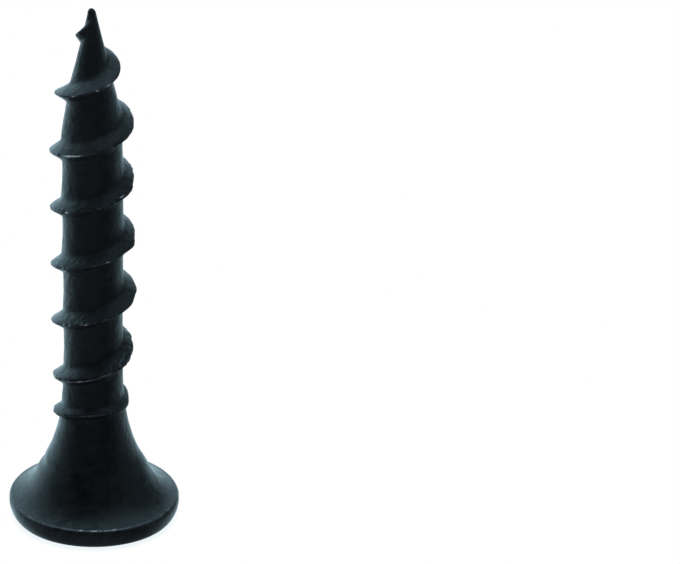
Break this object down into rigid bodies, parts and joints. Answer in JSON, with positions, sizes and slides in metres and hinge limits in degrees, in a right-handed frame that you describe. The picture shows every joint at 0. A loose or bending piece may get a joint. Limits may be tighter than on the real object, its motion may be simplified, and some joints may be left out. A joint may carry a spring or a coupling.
{
  "type": "self-tapping wood screw",
  "caption": "Black self-tapping wood screw with a bugle head, a cross recess, a coarse right-hand thread along the shank and a gimlet point, standing on its head.",
  "frame": {"origin": "centre of the head's flat face, on the surface that the screw stands on", "axes": "+Z along the screw's axis, from the head's face towards the point"},
  "size_m": [0.0078, 0.0078, 0.0254],
  "materials": {
    "black_phosphate": "satin black phosphate over steel, worn to bright metal in small specks along the thread's crest"
  },
  "bodies": {
    "root": {"screw": "black_phosphate"}
  },
  "joints": []
}
